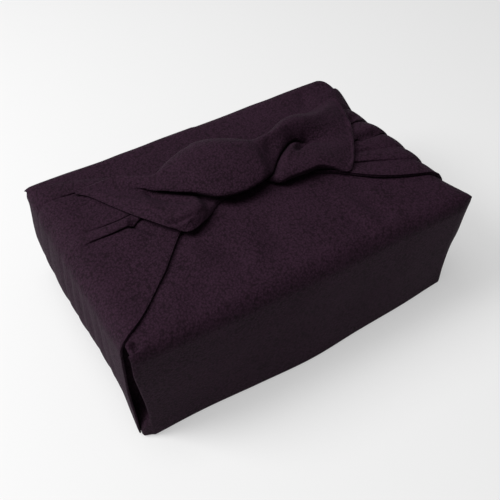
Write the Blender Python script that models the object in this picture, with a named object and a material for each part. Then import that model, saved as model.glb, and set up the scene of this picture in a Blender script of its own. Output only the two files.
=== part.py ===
"""Furoshiki wrap: one square of crepe cloth tied round a flat carton.

The cloth is one piece, so the model is one solid. It is the union of four shapes, which follow
the way the cloth is folded:

* the wrapped body, with the smooth front and back panels;
* the left and right flaps, gathered towards the knot and laid over the panels;
* the knot with its two tails, laid flat to the left and to the right.

Frame: origin under the middle of the wrap, +X along its length to the right, -Y to the front,
+Z up. The wrap rests on its flat underside at z = 0. Sizes are in millimetres, and MM turns them
into metres.
"""

from dataclasses import dataclass
from math import exp, pi, sin

import bmesh
import bpy
from mathutils import Vector

MM = 0.001

# The wrapped body.
BODY_LENGTH = 240.0
BODY_WIDTH = 155.0
BODY_HEIGHT = 84.0
EDGE_RADIUS = 11.0
BACK_RADIUS = 5.0
BACK_RADIUS_FROM_Y = 45.0
CORNER_RADIUS = 6.0
UNDERSIDE_RADIUS = 2.0
EDGE_RINGS = (2.0, 5.0, 11.0)
GRID_STEP = 11.0
FLAT_ENOUGH = 0.001

# How the body's faces leave the plain box, and where each swelling is widest.
CROWN = 1.2
BACK_EDGE_FROM_Y = 20.0
BACK_BULGE = 3.0
BACK_FLARE = 4.5
LEFT_BULGE = 4.5
LEFT_BULGE_Y = 20.0
LEFT_BULGE_REACH = 70.0
RIGHT_BULGE = 8.0
RIGHT_BULGE_Y = -90.0
RIGHT_BULGE_REACH = 32.0
RIGHT_TAPER = 8.5
RIGHT_TAPER_FROM_Z = 55.0
PULLED_RADIUS = 12.0
PULLED_Y = 38.0
PULLED_REACH = 26.0
PULLED_FROM_Z = 25.0
FACE_POWER = 8
CORNER_POWER = 4
BETWEEN_ENDS_POWER = 4
EAR_POWER = 6

# Evenly spaced values: how far the front's foot stands out and the back's top edge stands up,
# from the left end to the right, and how far the left end's foot is tucked in, front to back.
FRONT_FOOT = (2.5, 2.4, 4.6, 6.2, 3.6, 1.6, -1.5)
BACK_EDGE = (1.5, 0.2, -0.8, 0.8, 1.5, 3.3, 4.0)
LEFT_FOOT = (-1.0, 4.0, 8.5, 10.3, 8.5)

# How far the knot pulls each top corner out of line, along X, Y and Z.
FRONT_LEFT_EAR = (-1.0, 1.0, 0.0)
FRONT_RIGHT_EAR = (0.5, 0.5, 0.0)
BACK_LEFT_EAR = (-6.0, 1.0, -1.5)
BACK_RIGHT_EAR = (-9.0, 1.5, 1.0)

# The open pleat down the front left corner, between the left flap's edge, which starts further
# back towards the floor, and the front panel.
PLEAT_GAP = 6.0
PLEAT_GAP_AT_FLOOR = 1.0
PLEAT_START_Y_AT_TOP = -62.0
PLEAT_START_Y_AT_FLOOR = -28.0
PLEAT_DEEPEST_Y = -74.0
PANEL_EDGE_Y = -77.0
PLEAT_TOP = 82.0
PLEAT_FULL = 66.0

# The cloth.
SHEET = 1.8
EMBED = 4.0
EDGE_CLEARANCE = 0.5
CREASE_SHARPNESS = 0.7

# The knot is one sheet thick this near to its hems, where they lie higher than a flap.
HEM_OVERHANG = 7.0
FREE_HEM_HEIGHT = 4.2

# Distances from the middle at which the folds are measured, along the top and down the end.
KNOT_REACH = 46.0
MIDDLE_REACH = 84.0
EDGE_REACH = 117.0
FLOOR_REACH = BODY_LENGTH / 2 + BODY_HEIGHT - 3.0
FLAP_STATIONS = (46, 56, 65, 74, 84, 93, 101, 109, 114, 118, 122, 127, 135, 148, 162, 178, 192, 201)
STEPS_PER_FOLD = 3

# How finely the knot's sections are spaced, along it and across it.
STEPS_PER_SECTION = 2
STEPS_PER_PLACE = 3

CLOTH_COLOR = (0.032, 0.012, 0.042, 1.0)
CLOTH_ROUGHNESS = 0.9


@dataclass(frozen=True)
class Fold:
    """One line of a flap, from under the knot, over the end's edge and down to the floor.

    The y columns say where the line runs, and the rise columns how far it stands out from the
    body. Crests and creases take turns, so that neighbouring lines make a pleat.
    """

    name: str
    knot_y: float
    middle_y: float
    edge_y: float
    floor_y: float
    knot_rise: float
    middle_rise: float
    edge_rise: float
    floor_rise: float


@dataclass(frozen=True)
class Section:
    """One section across the knot, from its back edge to its front edge.

    Heights are above the body's top. Each of the five middle columns is the share of the way
    from back to front, and the height there. bow moves the section's middle to the right.
    """

    back: tuple
    front: tuple
    bow: float
    back_height: float
    shoulder: tuple
    crest: tuple
    valley: tuple
    roll: tuple
    lip: tuple
    front_height: float


LEFT_FOLDS = (
    Fold("leading edge", -5.0, -40.0, -65.0, -31.0, 2.2, 2.2, 2.4, 1.4),
    Fold("behind the edge", 1.0, -31.0, -57.0, -23.0, 2.0, 1.8, 1.6, 1.4),
    Fold("flat panel", 4.0, -12.0, -30.0, -12.0, 1.8, 1.4, 1.4, 1.2),
    Fold("low crest", 6.0, 3.0, -6.0, -2.0, 1.6, 1.4, 1.6, 1.2),
    Fold("deep crease", 8.0, 10.5, 8.0, 6.0, 0.6, 0.3, 0.8, 1.0),
    Fold("narrow crest", 10.5, 12.5, 12.0, 11.0, 2.4, 2.8, 2.2, 1.3),
    Fold("soft crease", 14.0, 17.0, 18.0, 18.0, 1.6, 1.2, 1.2, 1.0),
    Fold("broad crest", 19.0, 21.0, 26.0, 24.0, 2.6, 2.8, 2.4, 1.8),
    Fold("hollow", 27.0, 35.0, 39.0, 39.0, 2.0, 1.6, 1.4, 1.0),
    Fold("back crest", 33.0, 44.0, 49.0, 50.0, 2.4, 2.4, 2.4, 1.6),
    Fold("back crease", 37.0, 51.5, 55.0, 58.0, 1.0, 0.6, 0.6, 0.8),
    Fold("corner crest", 40.0, 55.0, 62.0, 66.0, 1.6, 1.8, 1.8, 1.2),
    Fold("back edge", 44.0, 60.0, 71.0, 73.0, -0.8, -0.8, -0.8, -0.8),
)

RIGHT_FOLDS = (
    Fold("leading edge", -13.0, -34.0, -48.0, -60.0, 2.2, 2.2, 1.6, 1.0),
    Fold("front crest", -9.0, -27.0, -41.0, -51.0, 2.4, 2.4, 2.2, 1.4),
    Fold("front crease", -5.0, -16.0, -31.0, -40.0, 1.2, 0.6, 0.8, 0.8),
    Fold("second crest", -2.0, -11.0, -24.0, -32.0, 2.4, 2.6, 2.6, 1.6),
    Fold("second crease", 1.0, -5.0, -15.0, -22.0, 1.4, 1.2, 1.2, 1.0),
    Fold("third crest", 4.0, 0.0, -6.0, -10.0, 2.6, 2.8, 2.8, 1.8),
    Fold("deep crease", 7.0, 6.0, 6.5, 5.0, 0.6, 0.3, 0.6, 0.8),
    Fold("fourth crest", 11.0, 12.0, 13.0, 14.0, 2.4, 2.8, 2.2, 1.6),
    Fold("fourth crease", 16.0, 22.0, 24.0, 26.0, 1.2, 0.6, 0.6, 0.8),
    Fold("fifth crest", 21.0, 29.0, 33.0, 35.0, 2.4, 2.8, 2.2, 1.6),
    Fold("fifth crease", 27.0, 38.0, 42.0, 44.0, 1.2, 1.0, 0.8, 0.8),
    Fold("back crest", 32.0, 46.0, 51.0, 53.0, 2.2, 2.2, 2.0, 1.4),
    Fold("back edge", 38.0, 55.0, 61.0, 63.0, -0.8, -0.8, -0.8, -0.8),
)

KNOT_SECTIONS = (
    Section((-96, 58), (-97, 55), 0, 5.6, (0.1, 5.8), (0.2, 5.8), (0.4, 5.8), (0.7, 5.8),
            (0.85, 5.8), 5.6),
    Section((-88, 56), (-91, 43), 0, 5.8, (0.05, 6.0), (0.12, 6.2), (0.35, 6.0), (0.7, 6.6),
            (0.9, 6.2), 5.8),
    Section((-79, 53), (-83, 28), 0, 5.8, (0.04, 6.4), (0.1, 7.0), (0.32, 6.2), (0.72, 7.8),
            (0.9, 7.0), 6.0),
    Section((-69, 51), (-75, 13), 0, 5.0, (0.05, 6.8), (0.12, 8.4), (0.34, 6.2), (0.74, 9.2),
            (0.91, 7.6), 6.2),
    Section((-58, 48), (-67, 0), 0, 3.8, (0.06, 7.6), (0.15, 10.6), (0.37, 6.2), (0.75, 10.4),
            (0.92, 8.2), 6.2),
    Section((-48, 46.5), (-60, -10), 0, 3.2, (0.07, 8.4), (0.19, 13.0), (0.41, 6.0), (0.76, 11.8),
            (0.93, 9.0), 6.4),
    Section((-37, 46), (-51, -17), 0, 3.0, (0.08, 9.4), (0.24, 16.0), (0.48, 5.4), (0.78, 13.2),
            (0.94, 9.4), 6.4),
    Section((-26, 46), (-38, -13), 0, 2.6, (0.1, 10.6), (0.31, 18.6), (0.62, 4.8), (0.83, 11.4),
            (0.94, 8.0), 5.4),
    Section((-14, 46), (-24, -5), 0, 2.4, (0.11, 11.0), (0.41, 20.4), (0.85, 7.2), (0.94, 5.4),
            (0.98, 5.2), 4.8),
    Section((-2, 46), (-8, -5), 0, 2.4, (0.11, 11.4), (0.46, 21.0), (0.8, 14.4), (0.92, 10.6),
            (0.97, 8.8), 7.2),
    Section((11, 45), (8, -5), 0, 2.4, (0.11, 11.6), (0.44, 21.0), (0.76, 15.4), (0.9, 11.0),
            (0.96, 9.0), 7.2),
    Section((24, 44), (21, -7), 0, 2.6, (0.11, 12.0), (0.36, 20.4), (0.72, 6.2), (0.86, 10.4),
            (0.94, 9.2), 7.2),
    Section((37, 44), (35, -9), 0, 3.0, (0.1, 12.4), (0.27, 19.4), (0.53, 7.0), (0.8, 12.6),
            (0.93, 10.4), 7.6),
    Section((50, 44), (47, -11), 0, 3.4, (0.09, 11.6), (0.2, 17.4), (0.38, 8.8), (0.82, 12.4),
            (0.94, 10.0), 7.4),
    Section((63, 46), (57, -15.5), 0, 4.0, (0.08, 10.0), (0.16, 14.6), (0.4, 8.2), (0.77, 11.0),
            (0.92, 8.8), 6.8),
    Section((78, 50), (61, -19), 3, 5.0, (0.07, 8.8), (0.14, 12.0), (0.37, 8.2), (0.7, 9.4),
            (0.9, 7.6), 6.2),
    Section((92, 55), (64.5, -20), 6, 5.6, (0.07, 7.8), (0.14, 9.4), (0.37, 7.8), (0.65, 8.0),
            (0.88, 7.0), 6.0),
    Section((105, 60), (68, -19), 9, 5.8, (0.06, 6.6), (0.14, 7.2), (0.37, 6.8), (0.62, 6.8),
            (0.87, 6.4), 6.0),
)


def bump(value, middle, reach):
    """Return a smooth bell of height 1 that fades about one reach from its middle."""
    return exp(-((value - middle) / reach) ** 2)


def clamp(value, limit):
    """Return the value kept between -limit and +limit."""
    return max(-limit, min(limit, value))


def ramp(value, start, end):
    """Return 0 at the start and 1 at the end, eased in between and level outside."""
    share = max(0.0, min(1.0, (value - start) / (end - start)))
    return share * share * (3.0 - 2.0 * share)


def curve(values, place):
    """Return a smooth curve through the values, at a place counted in values from the first."""
    last = len(values) - 1
    index = min(int(place), last - 1)
    share = place - index
    before, near, far, after = (values[max(0, min(last, index + step))] for step in (-1, 0, 1, 2))
    pull = (far - before) * share + (2 * before - 5 * near + 4 * far - after) * share ** 2
    return near + 0.5 * (pull + (3 * near - before - 3 * far + after) * share ** 3)


def spread(values, place, size):
    """Return the value that a row of evenly spaced values has at a place across a size."""
    return curve(values, (place / size + 0.5) * (len(values) - 1))


def edge_radius(x, y, z, share):
    """Return how far the body's edges are rounded near a point of its plain box."""
    radius = EDGE_RADIUS
    radius += (BACK_RADIUS - radius) * ramp(y, BACK_RADIUS_FROM_Y, BODY_WIDTH / 2 - EDGE_RADIUS)
    radius += (CORNER_RADIUS - radius) * (share.x * share.y * share.z) ** CORNER_POWER
    if x > 0.0:
        pulled = bump(y, PULLED_Y, PULLED_REACH) * ramp(z, PULLED_FROM_Z, BODY_HEIGHT)
        radius += PULLED_RADIUS * pulled
    return radius + (UNDERSIDE_RADIUS - radius) * ramp(z, BODY_HEIGHT / 2, 0.0)


def end_swelling(x, y, z, share):
    """Return how far an end of the body stands out along X from the plain box."""
    if x > 0.0:
        bulge = RIGHT_BULGE * bump(y, RIGHT_BULGE_Y, RIGHT_BULGE_REACH)
        return bulge - RIGHT_TAPER * ramp(z, RIGHT_TAPER_FROM_Z, 0.0)
    bulge = LEFT_BULGE * (1.0 - share.z ** 2) * bump(y, LEFT_BULGE_Y, LEFT_BULGE_REACH)
    return spread(LEFT_FOOT, y, BODY_WIDTH) * ramp(z, BODY_HEIGHT / 2, 0.0) - bulge


def side_swelling(x, y, z, share):
    """Return how far the front or back of the body stands out along Y from the plain box."""
    if y < 0.0:
        return spread(FRONT_FOOT, x, BODY_LENGTH) * (z / BODY_HEIGHT - 1.0)
    between_ends = 1.0 - share.x ** BETWEEN_ENDS_POWER
    return BACK_BULGE * between_ends + BACK_FLARE * (1.0 - z / BODY_HEIGHT)


def top_swelling(x, y, share):
    """Return how far the top of the body stands up along Z from the plain box."""
    crown = CROWN * (1.0 - share.x ** 2) * (1.0 - share.y ** 2)
    edge = spread(BACK_EDGE, x, BODY_LENGTH) * ramp(y, BACK_EDGE_FROM_Y, BODY_WIDTH / 2)
    return crown + edge


def ear(x, y):
    """Return how far the knot pulls the top corner beside a point out of line."""
    if y < 0.0:
        return Vector(FRONT_LEFT_EAR if x < 0.0 else FRONT_RIGHT_EAR)
    return Vector(BACK_LEFT_EAR if x < 0.0 else BACK_RIGHT_EAR)


def swelling(x, y, z, share):
    """Return how far the body's faces stand out from the plain box near a point of it."""
    top = share.z ** FACE_POWER if z > BODY_HEIGHT / 2 else 0.0
    along = end_swelling(x, y, z, share) * share.x ** FACE_POWER
    across = side_swelling(x, y, z, share) * share.y ** FACE_POWER
    up = top_swelling(x, y, share) * top
    return Vector((along, across, up)) + ear(x, y) * top * (share.x * share.y) ** EAR_POWER


def skin(x, y, z, rise=0.0):
    """Return the point of the wrapped body for a point of its plain box.

    x, y and z lie on the box's surface, with z measured up from the floor. rise is how far the
    returned point stands out from the body.
    """
    half = Vector((BODY_LENGTH / 2, BODY_WIDTH / 2, BODY_HEIGHT / 2))
    point = Vector((x, y, z - half.z))
    share = Vector(abs(point[axis]) / half[axis] for axis in range(3))
    radius = edge_radius(x, y, z, share)
    inner = Vector(clamp(point[axis], half[axis] - radius) for axis in range(3))
    outward = (point - inner).normalized()
    place = inner + outward * (radius + rise) + swelling(x, y, z, share)
    place.z += half.z
    return place


def pleat_depth(y, z):
    """Return how deep the open pleat is at a place on the left end."""
    height = z / BODY_HEIGHT
    start = PLEAT_START_Y_AT_FLOOR + (PLEAT_START_Y_AT_TOP - PLEAT_START_Y_AT_FLOOR) * height
    depth = PLEAT_GAP_AT_FLOOR + (PLEAT_GAP - PLEAT_GAP_AT_FLOOR) * ramp(height, 0.0, 0.5)
    opened = ramp(y, start, PLEAT_DEEPEST_Y) * ramp(y, PANEL_EDGE_Y, PLEAT_DEEPEST_Y)
    return depth * opened * ramp(z, PLEAT_TOP, PLEAT_FULL)


def cloth_material():
    """Return the dark purple crepe of the whole wrap."""
    material = bpy.data.materials.new("crepe")
    material.use_nodes = True
    shader = material.node_tree.nodes["Principled BSDF"]
    shader.inputs["Base Color"].default_value = CLOTH_COLOR
    shader.inputs["Roughness"].default_value = CLOTH_ROUGHNESS
    shader.inputs["Metallic"].default_value = 0.0
    return material


def add_mesh(name, mesh_builder, collection):
    """Add an object whose mesh is the builder's, turned into metres, and return it."""
    bmesh.ops.recalc_face_normals(mesh_builder, faces=mesh_builder.faces)
    bmesh.ops.scale(mesh_builder, vec=(MM, MM, MM), verts=mesh_builder.verts)
    mesh = bpy.data.meshes.new(name)
    mesh_builder.to_mesh(mesh)
    mesh_builder.free()
    mesh.shade_smooth()
    thing = bpy.data.objects.new(name, mesh)
    collection.objects.link(thing)
    return thing


def grid_places(half):
    """Return where a box is cut across one axis: closer together near its edges."""
    inside = half - EDGE_RINGS[-1]
    count = round(2.0 * inside / GRID_STEP)
    middle = [inside * (2.0 * step / count - 1.0) for step in range(count + 1)]
    ends = [half - ring for ring in EDGE_RINGS[:-1]]
    return [-end for end in ends] + middle + ends


def cut_grid(mesh_builder, half):
    """Cut a box into a grid across its three axes."""
    for axis in range(3):
        normal = Vector((0.0, 0.0, 0.0))
        normal[axis] = 1.0
        for place in grid_places(half[axis]):
            everything = mesh_builder.verts[:] + mesh_builder.edges[:] + mesh_builder.faces[:]
            bmesh.ops.bisect_plane(mesh_builder, geom=everything, plane_co=normal * place,
                                   plane_no=normal)


def make_body(collection):
    """Make the wrapped body: a box cut into a grid, then rounded, crowned and bulged."""
    half = (BODY_LENGTH / 2, BODY_WIDTH / 2, BODY_HEIGHT / 2)
    mesh_builder = bmesh.new()
    bmesh.ops.create_cube(mesh_builder, size=1.0)
    bmesh.ops.scale(mesh_builder, vec=[2.0 * size for size in half], verts=mesh_builder.verts)
    cut_grid(mesh_builder, half)
    for vertex in mesh_builder.verts:
        x, y, z = vertex.co
        vertex.co = skin(x, y, z + half[2])
        if x < -half[0] + EDGE_RADIUS:
            vertex.co.x += pleat_depth(y, z + half[2])
    underside = [face for face in mesh_builder.faces
                 if all(vertex.co.z < FLAT_ENOUGH for vertex in face.verts)]
    bmesh.ops.dissolve_faces(mesh_builder, faces=underside)
    return add_mesh("body", mesh_builder, collection)


def make_slab(name, top, under, collection):
    """Make a closed slab of cloth between two grids of points, one above the other."""
    mesh_builder = bmesh.new()
    above = [[mesh_builder.verts.new(point) for point in row] for row in top]
    below = [[mesh_builder.verts.new(point) for point in row] for row in under]
    for grid in (above, below):
        for near, far in zip(grid, grid[1:]):
            for index in range(len(near) - 1):
                corners = (near[index], near[index + 1], far[index + 1], far[index])
                mesh_builder.faces.new(corners)
    rims = ((above[0], below[0]), (above[-1], below[-1]),
            ([row[0] for row in above], [row[0] for row in below]),
            ([row[-1] for row in above], [row[-1] for row in below]))
    for upper, lower in rims:
        for index in range(len(upper) - 1):
            corners = (upper[index], upper[index + 1], lower[index + 1], lower[index])
            mesh_builder.faces.new(corners)
    return add_mesh(name, mesh_builder, collection)


def along_fold(reach, values):
    """Return the value at a reach along a fold, on a curve through its four named places."""
    places = (KNOT_REACH, MIDDLE_REACH, EDGE_REACH, FLOOR_REACH)
    for index, (near, far) in enumerate(zip(places, places[1:])):
        if reach <= far:
            return curve(values, index + (reach - near) / (far - near))
    return values[-1]


def fold_line(fold, reach):
    """Return a fold's y and its rise at a reach along it."""
    y = along_fold(reach, (fold.knot_y, fold.middle_y, fold.edge_y, fold.floor_y))
    rise = along_fold(reach, (fold.knot_rise, fold.middle_rise, fold.edge_rise, fold.floor_rise))
    return y, rise


def pleat(near, far, share):
    """Return the y and rise between two fold lines: round at a crest and sharp in a crease."""
    y = near[0] + (far[0] - near[0]) * share
    from_crease = share if near[1] < far[1] else 1.0 - share
    low, high = sorted((near[1], far[1]))
    return y, low + (high - low) * sin(from_crease * pi / 2) ** CREASE_SHARPNESS


def flap_point(side, reach, y, rise):
    """Return the point of a flap at a reach from the middle, along the top and down the end."""
    half_length = BODY_LENGTH / 2
    if reach <= half_length:
        return skin(side * reach, y, BODY_HEIGHT, rise)
    return skin(side * half_length, y, BODY_HEIGHT - (reach - half_length), rise)


def make_flap(name, side, folds, collection):
    """Make one gathered flap, with a row of points at each station along its folds."""
    top = []
    under = []
    for reach in FLAP_STATIONS:
        lines = [fold_line(fold, reach) for fold in folds]
        across = [pleat(near, far, step / STEPS_PER_FOLD)
                  for near, far in zip(lines, lines[1:]) for step in range(STEPS_PER_FOLD)]
        across.append(lines[-1])
        depths = [-EMBED] * len(across)
        depths[0] = max(across[0][1] - SHEET, EDGE_CLEARANCE)
        top.append([flap_point(side, reach, y, rise) for y, rise in across])
        under.append([flap_point(side, reach, y, depth)
                      for (y, rise), depth in zip(across, depths)])
    return make_slab(name, top, under, collection)


def section_profile(section):
    """Return a section's seven places across the knot, from back to front, as points."""
    back = Vector(section.back)
    front = Vector(section.front)
    places = ((0.0, section.back_height), section.shoulder, section.crest, section.valley,
              section.roll, section.lip, (1.0, section.front_height))
    points = []
    for share, height in places:
        place = back.lerp(front, share)
        bow = section.bow * 4.0 * share * (1.0 - share)
        points.append(Vector((place.x + bow, place.y, BODY_HEIGHT + height)))
    return points


def under_knot(top, row, index):
    """Return the point below a point of the knot's top.

    Near a hem it is one sheet lower, so that the tails lie clear of the flaps there. Further in
    it is down in the body.
    """
    point = top[row][index]
    edges = (top[row][0], top[row][-1], top[0][index], top[-1][index])
    hems = [edge for edge in edges if edge.z > BODY_HEIGHT + FREE_HEM_HEIGHT]
    near_hem = any((point.xy - hem.xy).length < HEM_OVERHANG for hem in hems)
    return Vector((point.x, point.y, point.z - SHEET if near_hem else BODY_HEIGHT - EMBED))


def make_knot(collection):
    """Make the knot and its tails, with a row of points at each section from left to right."""
    profiles = [section_profile(section) for section in KNOT_SECTIONS]
    sections = (len(profiles) - 1) * STEPS_PER_SECTION + 1
    places = (len(profiles[0]) - 1) * STEPS_PER_PLACE + 1
    top = []
    for step in range(sections):
        profile = [curve(column, step / STEPS_PER_SECTION) for column in zip(*profiles)]
        top.append([curve(profile, index / STEPS_PER_PLACE) for index in range(places)])
    under = [[under_knot(top, row, index) for index in range(places)] for row in range(sections)]
    return make_slab("knot", top, under, collection)


def join(base, additions):
    """Add a Boolean union to the base, so that it and a collection's shapes become one body."""
    union = base.modifiers.new("union with " + additions.name, "BOOLEAN")
    union.operation = "UNION"
    union.solver = "EXACT"
    union.operand_type = "COLLECTION"
    union.collection = additions
    for shape in additions.objects:
        shape.display_type = "WIRE"
        shape.hide_render = True


def main():
    """Build the wrap."""
    for thing in list(bpy.data.objects):
        bpy.data.objects.remove(thing, do_unlink=True)
    wrap = bpy.data.collections.new("furoshiki wrap")
    layers = bpy.data.collections.new("layers on the body")
    bpy.context.scene.collection.children.link(wrap)
    bpy.context.scene.collection.children.link(layers)

    furoshiki = make_body(wrap)
    furoshiki.name = "furoshiki"
    furoshiki.data.materials.append(cloth_material())
    make_flap("left flap", -1.0, LEFT_FOLDS, layers)
    make_flap("right flap", 1.0, RIGHT_FOLDS, layers)
    make_knot(layers)
    join(furoshiki, layers)


main()
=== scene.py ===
"""Furoshiki wrap: a square of dark crepe tied round a flat carton.

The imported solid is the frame. The cloth that shows is four thin sheets laid on its folds: the
panels over the carton, the two gathered flaps, and the knot with its tails. All of them are parts
of one square cloth.

Sizes are in millimetres in the frame's own axes, with +X along the wrap to the right, -Y to the
front and +Z up, and MM turns them into metres.
"""

import logging
from dataclasses import dataclass
from enum import Enum
from math import cos, pi, radians, sin

import bpy
import numpy as np
from mathutils import Matrix, Vector, noise

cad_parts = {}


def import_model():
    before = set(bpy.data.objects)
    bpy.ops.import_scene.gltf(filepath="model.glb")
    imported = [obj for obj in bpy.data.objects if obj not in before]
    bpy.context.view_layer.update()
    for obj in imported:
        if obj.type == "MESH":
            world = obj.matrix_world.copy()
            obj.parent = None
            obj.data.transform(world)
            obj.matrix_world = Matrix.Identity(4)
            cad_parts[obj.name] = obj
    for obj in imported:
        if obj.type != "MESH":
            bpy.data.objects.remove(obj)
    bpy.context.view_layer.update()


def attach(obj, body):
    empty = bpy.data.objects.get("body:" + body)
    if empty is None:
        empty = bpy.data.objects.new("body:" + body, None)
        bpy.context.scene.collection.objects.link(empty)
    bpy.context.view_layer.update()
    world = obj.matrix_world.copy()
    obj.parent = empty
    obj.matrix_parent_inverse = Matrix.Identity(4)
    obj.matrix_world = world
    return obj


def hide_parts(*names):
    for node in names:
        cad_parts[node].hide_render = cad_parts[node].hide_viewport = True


MM = 0.001
BODY = "root"
NODE = "furoshiki"
WHITE = (1.0, 1.0, 1.0, 1.0)

log = logging.getLogger("furoshiki")


class Face(Enum):
    """A side of the wrap, with the two axes that run across it."""

    TOP = (0, 1)
    FRONT = (0, 2)
    END = (1, 2)


class Side(Enum):
    """The end of the wrap that a flap folds over, with its direction along X."""

    LEFT = -1.0
    RIGHT = 1.0


def bell(distance: np.ndarray, reach: float) -> np.ndarray:
    """Return a smooth bell of height 1 that fades about one reach from its middle."""
    return np.exp(-((distance / reach) ** 2))


def ramp(value: np.ndarray, start: float, end: float) -> np.ndarray:
    """Return 0 at the start and 1 at the end, eased in between and level outside."""
    share = np.clip((value - start) / (end - start), 0.0, 1.0)
    return share * share * (3.0 - 2.0 * share)


def curve(values: np.ndarray, places: np.ndarray) -> np.ndarray:
    """Return a smooth curve through rows of values.

    Args:
        values: One row for each point that the curve passes through.
        places: Where to read the curve, counted in rows from the first.

    Returns:
        One row for each place.
    """
    last = len(values) - 1
    index = np.clip(places.astype(int), 0, last - 1)
    share = (places - index).reshape((-1,) + (1,) * (values.ndim - 1))
    before, near, far, after = (values[np.clip(index + step, 0, last)] for step in (-1, 0, 1, 2))
    pull = (far - before) * share + (2 * before - 5 * near + 4 * far - after) * share ** 2
    return near + 0.5 * (pull + (3 * near - before - 3 * far + after) * share ** 3)


@dataclass(frozen=True)
class Waves:
    """Soft uneven waves, as a cloth has that isn't ironed.

    size is how far apart the waves are and height how high. seed moves the noise that they are
    read from, so that each use has its own.
    """

    size: float
    height: float
    seed: float

    def lift(self, places: np.ndarray) -> np.ndarray:
        """Return how far the waves lift each place."""
        shift = Vector((self.seed, 2.0 * self.seed, 3.0 * self.seed))
        return self.height * np.array(
            [noise.noise(Vector(place) / self.size + shift) for place in places])


@dataclass(frozen=True)
class Crease:
    """A soft trough or ridge along a line on one face of the wrap.

    rise is the height of its middle, below zero in a trough, and width is how far it fades out
    to either side. fade_in and fade_out are the shares of the line over which it grows from its
    start and dies away to its end, and both start a hair past_the_end, so that either may be 0.
    The curve through the points has so many steps to each.
    """

    name: str
    face: Face
    points: tuple[tuple[float, float], ...]
    rise: float
    width: float
    fade_in: float = 0.25
    fade_out: float = 0.25
    steps: int = 12
    past_the_end: float = 0.001

    def lift(self, places: np.ndarray) -> np.ndarray:
        """Return how far the crease lifts the cloth.

        Args:
            places: Points of the cloth in millimetres, one a row.

        Returns:
            One height for each point, below zero in a trough.
        """
        count = (len(self.points) - 1) * self.steps
        line = curve(np.array(self.points, float), np.arange(count + 1) / self.steps)
        flat = places[:, self.face.value]
        gaps = np.hypot(flat[:, None, 0] - line[None, :, 0], flat[:, None, 1] - line[None, :, 1])
        share = gaps.argmin(axis=1) / count
        strength = ramp(share, -self.past_the_end, self.fade_in)
        strength = strength * ramp(share, 1.0 + self.past_the_end, 1.0 - self.fade_out)
        return self.rise * strength * bell(gaps.min(axis=1), self.width)


def lifted(places: np.ndarray, shapes: tuple[Crease | Waves, ...]) -> np.ndarray:
    """Return how far all the creases or waves together lift each place."""
    return sum((shape.lift(places) for shape in shapes), np.zeros(len(places)))


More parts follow.
